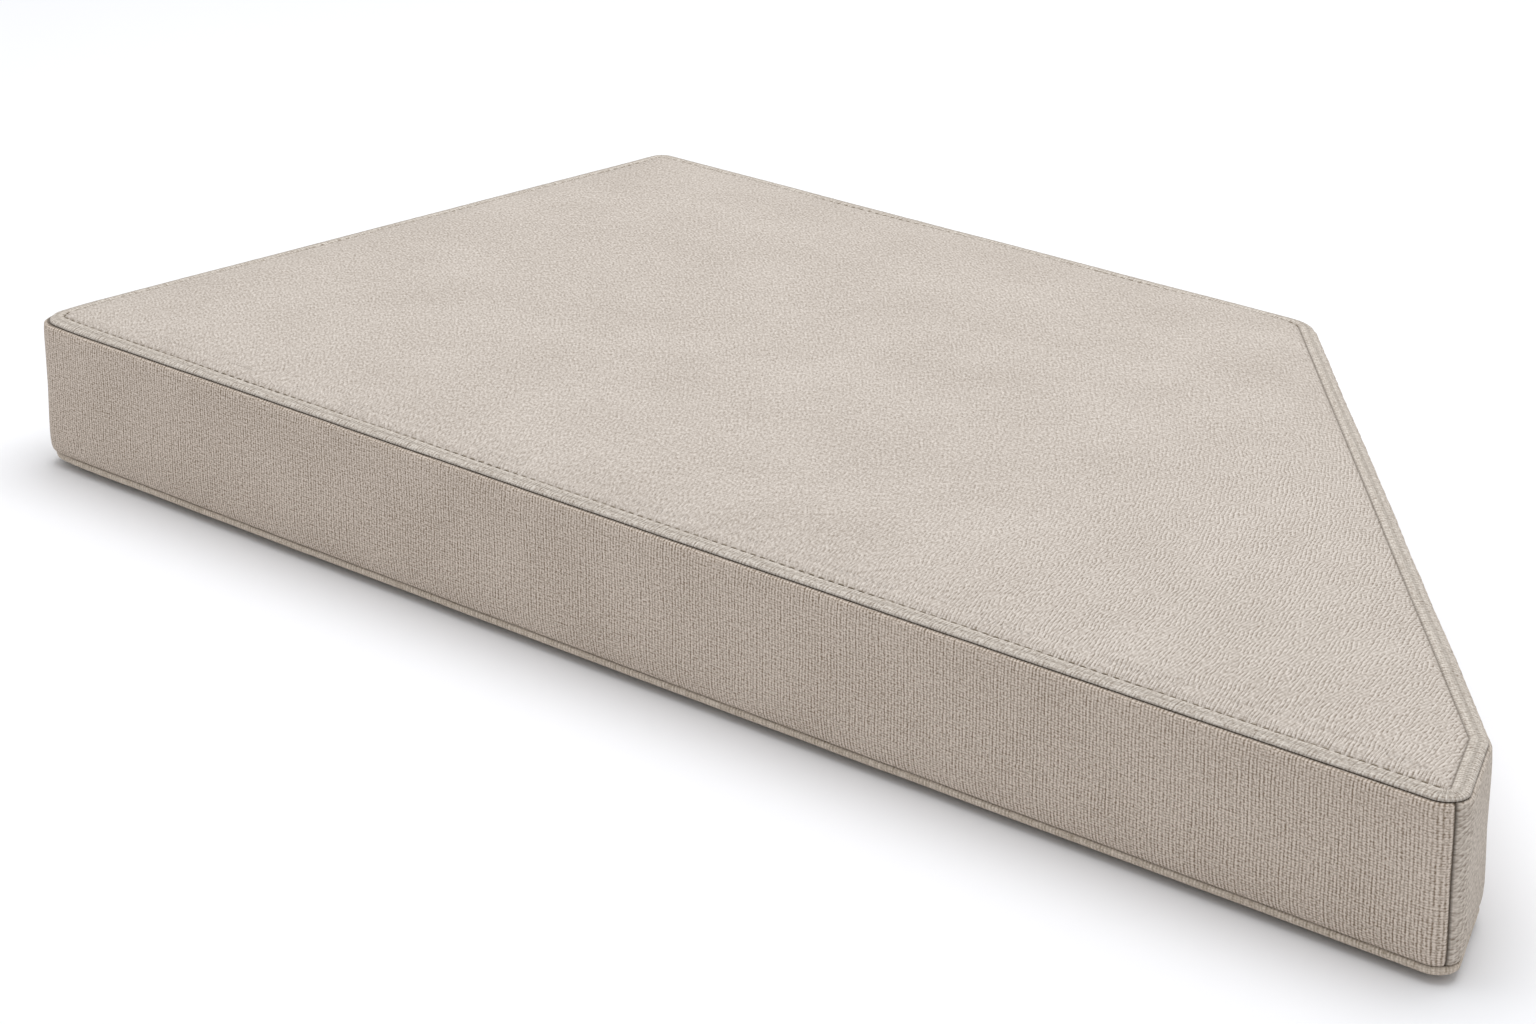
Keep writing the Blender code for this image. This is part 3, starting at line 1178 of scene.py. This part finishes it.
        self._write_side_map(bm, rows)
        for rim, coarseness, face in ((rings[-1], 2, Face.TOP), (rings[0], 4, Face.BOTTOM)):
            sheet = self._patch(rim, coarseness, face)
            carrier = bpy.data.meshes.new("sheet")
            sheet.to_mesh(carrier)
            sheet.free()
            before = len(bm.faces)
            bm.from_mesh(carrier)
            bpy.data.meshes.remove(carrier)
            bm.faces.ensure_lookup_table()
            self._write_panel_map(bm, bm.faces[before:])
        bmesh.ops.remove_doubles(bm, verts=bm.verts, dist=self.merge_reach)
        filled = bmesh.ops.holes_fill(bm, edges=bm.edges, sides=8)
        self._write_panel_map(bm, filled["faces"])
        bmesh.ops.recalc_face_normals(bm, faces=bm.faces)
        log.info("%s: %d faces", self.name, len(bm.faces))
        return finish_mesh(bm, self.name)

    def _write_side_map(self, bm: bmesh.types.BMesh, rows: Sequence[SectionRow]) -> None:
        """Lays the cloth map and the painted shade of the seams on the boxing and the bands.

        Args:
            bm: The cover's bmesh, with only its side built.
            rows: The section rows.
        """
        cloth = bm.loops.layers.uv.new("cloth")
        stitch = bm.loops.layers.uv.new("stitch")
        # Painted shade of the seams and channels, from 0 to 1, per point
        crease_shade = bm.verts.layers.float.new("crease_shade")
        pucker = bm.verts.layers.float.new("pucker")
        seam_ring = self.plan.ring(0.0)
        runs = [point.run for point in seam_ring] + [self.plan.total_run(seam_ring)]
        stitch_runs = self.plan.stitch_runs()[0]
        blind = [point.outward.x > BLIND_FROM for point in seam_ring] + [False]
        climb = [0.0]
        for lower, upper in zip(rows, rows[1:]):
            climb.append(climb[-1] + math.hypot(upper.out - lower.out, upper.height - lower.height))
        names = [row.name for row in rows]
        channels = [climb[names.index("underside channel")], climb[names.index("channel")]]
        aside = [min(abs(place - channel) for channel in channels) for place in climb]
        size = self.plan.ring_size
        bm.verts.ensure_lookup_table()
        zones = [self._zone(row, rows) for row in rows]
        for vert in bm.verts:
            row_index, column = divmod(vert.index, size)
            # The upright seam's line gets the full painted shade, other points their row's
            upright = (column == self.plan.upright_seam_index
                       and zones[row_index] is Zone.FRONT)
            vert[crease_shade] = 1.0 if upright else rows[row_index].shade
            vert[pucker] = rows[row_index].pucker
        for face in bm.faces:
            columns = [loop.vert.index % size for loop in face.loops]
            wraps = max(columns) - min(columns) > 1
            lowest = min(loop.vert.index // size for loop in face.loops)
            zone = zones[lowest]
            if zone is Zone.FRONT and min(columns) >= self.plan.upright_seam_index:
                zone = Zone.RETURN
            face.material_index = zone.value
            for loop, column in zip(face.loops, columns):
                step = size if wraps and column == 0 else column
                row_index = loop.vert.index // size
                on_panel = zone is Zone.PANEL
                loop[cloth].uv = loop.vert.co.xy if on_panel else (runs[step], climb[row_index])
                # On right-facing sides the stitch dimples' painted shade runs as one unbroken line
                run = BLIND_PHASE * STITCH_PITCH if blind[step] else stitch_runs[step]
                loop[stitch].uv = (run, aside[row_index])

    def _write_panel_map(self, bm: bmesh.types.BMesh,
                         faces: Sequence[bmesh.types.BMFace]) -> None:
        """Lays the cloth map on a panel, straight along the front and the side.

        Args:
            bm: The cover's bmesh.
            faces: The panel's faces.
        """
        cloth = bm.loops.layers.uv["cloth"]
        stitch = bm.loops.layers.uv["stitch"]
        for face in faces:
            face.material_index = Zone.PANEL.value
            for loop in face.loops:
                loop[cloth].uv = loop.vert.co.xy
                loop[stitch].uv = OFF_CHANNEL

    def dress(self, piece: bpy.types.Object) -> None:
        """Args:
            piece: The cover's object.
        """
        finishes = {
            # Long boxing strip: upright ribs, clearer to the right, over a fine speckle
            # Painted light: warmer thread colours stand for the warm light on the front wall
            Zone.FRONT: LinenFinish("linen_front", grain=(3.0, 3.6), calm=(0.25, 1.15),
                                    slub=0.2, streak=0.45, bead=(2.5, 2.0),
                                    bead_size=(1.3 * MM, 1.3 * MM), line_width=0.6 * MM,
                                    line_pitch=3.6 * MM, line_share=0.4,
                                    line_contrast=(0.7, 0.7), line_wander=(1.2, 0.4),
                                    line_size=(16.0 * MM, 16.0 * MM),
                                    light_thread="dccfc3", dark_thread="7d6c59"),
            # Other boxing: the same cloth, crushed in short leaning lines
            Zone.RETURN: LinenFinish("linen_return", bead=(2.2, 2.2),
                                     bead_size=(4.0 * MM, 1.5 * MM), line_pitch=2.8 * MM,
                                     line_width=0.55 * MM, line_share=1.0,
                                     line_contrast=(0.8, 0.8),
                                     line_turn=math.radians(40.0), line_wander=(3.6, 3.6),
                                     line_size=(30.0 * MM, 14.0 * MM), light_thread="d3c9be"),
            # Top band: stretched over its fold, so short strokes show across it
            Zone.BAND: LinenFinish("linen_band", grain=(1.5, 1.8), streak=1.2, bead=(1.8, 1.8),
                                   bead_size=(1.6 * MM, 1.5 * MM), line_share=0.4,
                                   line_contrast=(0.7, 0.7), line_wander=(0.6, 0.6),
                                   light_thread="d8d1c8"),
            # Bottom band and underside's edge: the same and plainer, with painted light
            # Painted light: paler, warm threads lift the shade that falls under the edge
            Zone.BASE: LinenFinish("linen_base", grain=(1.5, 1.8), streak=1.0, bead=(1.2, 1.2),
                                   line_share=0.1, line_contrast=(0.5, 0.5),
                                   line_wander=(0.4, 0.4), light_thread="e2d6c9",
                                   dark_thread="8e7e69"),
            # Panels: soft speckle at the left, fine curved lines at the right
            Zone.PANEL: LinenFinish("linen_panel", grain=(0.9, 1.8), slub=0.2, bead=(1.5, 1.4),
                                    bead_size=(1.6 * MM, 3.4 * MM),
                                    bead_turn=math.radians(45.0), line_pitch=2.3 * MM,
                                    line_width=0.46 * MM, line_share=0.75,
                                    line_contrast=(0.35, 1.15),
                                    line_centre=(-0.788, -0.701), line_wander=(3.6, 2.2),
                                    line_size=(14.0 * MM, 22.0 * MM),
                                    line_reach=(7.0 * MM, 12.0 * MM),
                                    light_thread="d8d0c8", dark_thread="877a6d"),
        }
        for zone in Zone:
            piece.data.materials.append(finishes[zone].make())
        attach(piece, BODY)
        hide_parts(NODE)


@dataclass
class TopStitching:
    """A row of stitches in the sewn channel of one panel.

    Attributes:
        plan: The seam line.
        face: The panel that is sewn.
        height: Height of the stitches' middle.
        length: Length of a stitch.
        thread: Radius of the thread.
        dive: How far a stitch's ends go down into the cloth.
        sink: How much deeper the stitches lie in the tighter channel.
        sides: Number of the thread's sides.
    """

    plan: SeamPlan
    face: Face
    height: float
    length: float = 4.6 * MM
    thread: float = 0.42 * MM
    dive: float = 0.8 * MM
    sink: float = 1.2 * MM
    sides: int = 6

    def _stitch(self) -> bpy.types.Mesh:
        """Models one stitch, an arched tube whose ends dive into the cloth.

        Returns:
            Its mesh, along X about the origin.
        """
        profile = ((-0.50, 0.40, -0.70), (-0.42, 0.85, -0.25), (-0.20, 1.0, 0.0),
                   (0.20, 1.0, 0.0), (0.42, 0.85, -0.25), (0.50, 0.40, -0.70))
        rings = []
        for along, girth, drop in profile:
            rings.append([Vector((along * self.length,
                                  girth * self.thread * math.cos(2.0 * math.pi * side / self.sides),
                                  girth * self.thread * math.sin(2.0 * math.pi * side / self.sides)
                                  + drop * self.dive)) for side in range(self.sides)])
        bm = bmesh.new()
        bmesh.ops.create_circle(bm, cap_ends=True, segments=self.sides, radius=1.0)
        cap = bm.faces[:][0]
        for corner, place in zip(cap.verts, rings[0]):
            corner.co = place
        for ring in rings[1:]:
            cap = extrude_ring(bm, cap, ring)
        bmesh.ops.recalc_face_normals(bm, faces=bm.faces)
        mesh = bpy.data.meshes.new("stitch")
        bm.to_mesh(mesh)
        bm.free()
        return mesh

    def build(self) -> bpy.types.Object:
        """Sews once round the channel.

        Returns:
            The stitches, as one object.
        """
        stitch = self._stitch()
        ring = self.plan.ring(CHANNEL_OUT, 1.0)
        runs, count = self.plan.stitch_runs()
        bm = bmesh.new()
        column = 0
        for number in range(count):
            run = number * STITCH_PITCH
            while runs[column + 1] <= run:
                column += 1
            share = (run - runs[column]) / (runs[column + 1] - runs[column])
            start, end = ring[column], ring[(column + 1) % len(ring)]
            place = start.place.lerp(end.place, share)
            outward = start.outward.lerp(end.outward, share).normalized()
            turn = Matrix.Rotation(math.atan2(outward.x, -outward.y), 4, "Z")
            lean = Matrix.Rotation(0.0 if self.face is Face.TOP else math.pi, 4, "X")
            before = len(bm.verts)
            bm.from_mesh(stitch)
            bm.verts.ensure_lookup_table()
            sunk = self.sink * self.face.value if outward.x > BLIND_FROM else 0.0
            where = Matrix.Translation((place.x, place.y, self.height - sunk)) @ turn @ lean
            bmesh.ops.transform(bm, matrix=where, verts=bm.verts[before:])
        bpy.data.meshes.remove(stitch)
        log.info("%s stitching: %d stitches", self.face.name.lower(), count)
        return finish_mesh(bm, f"{self.face.name.lower()}_stitching")

    def dress(self, piece: bpy.types.Object) -> None:
        """Args:
            piece: The stitches' object.
        """
        piece.data.materials.append(ThreadFinish(f"{self.face.name.lower()}_thread").make())
        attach(piece, BODY)


@dataclass
class Studio:
    """Plain pale floor, soft light and the camera at the photograph's angle."""

    plan: SeamPlan
    floor_size: float = 60.0
    camera_from_corner: tuple[float, float, float] = (2.2887, -1.6412, 0.9589)
    heading: float = math.radians(44.43)
    pitch_down: float = math.radians(19.73)
    lens: float = 102.94

    def build(self) -> None:
        """Builds the floor, the lights and the camera."""
        self._floor()
        self._world()
        self._area("overhead_softbox", (-0.2, 0.42, 3.2), 3.2, 85.0)
        self._camera()
        bpy.context.scene.view_settings.view_transform = "Standard"
        bpy.context.scene.view_settings.look = "None"

    def _floor(self) -> None:
        """Lays the floor: a roll of white background paper, matt, with only soft shadows."""
        bm = bmesh.new()
        bmesh.ops.create_grid(bm, x_segments=2, y_segments=2, size=self.floor_size / 2.0)
        floor = finish_mesh(bm, "studio_floor")
        material = bpy.data.materials.new("white_paper")
        material.use_nodes = True
        shader = material.node_tree.nodes["Principled BSDF"]
        shader.inputs["Base Color"].default_value = hex_to_linear("f2f3f6")
        shader.inputs["Roughness"].default_value = 1.0
        floor.data.materials.append(material)

    def _world(self) -> None:
        """Fills the studio with an even, pale light."""
        world = bpy.data.worlds.new("studio")
        bpy.context.scene.world = world
        world.use_nodes = True
        background = world.node_tree.nodes["Background"]
        background.inputs["Color"].default_value = (1.0, 1.0, 1.0, 1.0)
        background.inputs["Strength"].default_value = 0.605

    def _area(self, name: str, place: tuple[float, float, float], size: float,
              power: float) -> None:
        """Hangs a square softbox that faces the cushion.

        Args:
            name: The light's name.
            place: Where it hangs.
            size: Length of its side.
            power: Its power in watts.
        """
        lamp = bpy.data.lights.new(name, "AREA")
        lamp.shape = "SQUARE"
        lamp.size = size
        lamp.energy = power
        light = bpy.data.objects.new(name, lamp)
        light.location = place
        light.rotation_euler = Vector(place).to_track_quat("Z", "Y").to_euler()
        bpy.context.scene.collection.objects.link(light)

    def _camera(self) -> None:
        """Sets the camera where the photograph was taken from."""
        data = bpy.data.cameras.new("camera")
        data.lens = self.lens
        data.sensor_width = 36.0
        data.clip_end = 200.0
        camera = bpy.data.objects.new("camera", data)
        right, back, up = self.camera_from_corner
        camera.location = (self.plan.origin.x + right, self.plan.origin.y + back, up)
        camera.rotation_euler = (math.pi / 2.0 - self.pitch_down, 0.0, self.heading)
        bpy.context.scene.collection.objects.link(camera)
        bpy.context.scene.camera = camera


def main() -> None:
    """Builds the cushion's pieces in order, then the studio."""
    logging.basicConfig(level=logging.INFO, format="%(name)s: %(message)s")
    plan = SeamPlan()
    cover = CushionCover(plan)
    cover.dress(cover.build())
    for face, height in ((Face.TOP, cover.top_seam + 2.9 * MM), (Face.BOTTOM, 5.4 * MM)):
        stitching = TopStitching(plan, face, height)
        stitching.dress(stitching.build())
    Studio(plan).build()


if __name__ == "__main__":
    main()
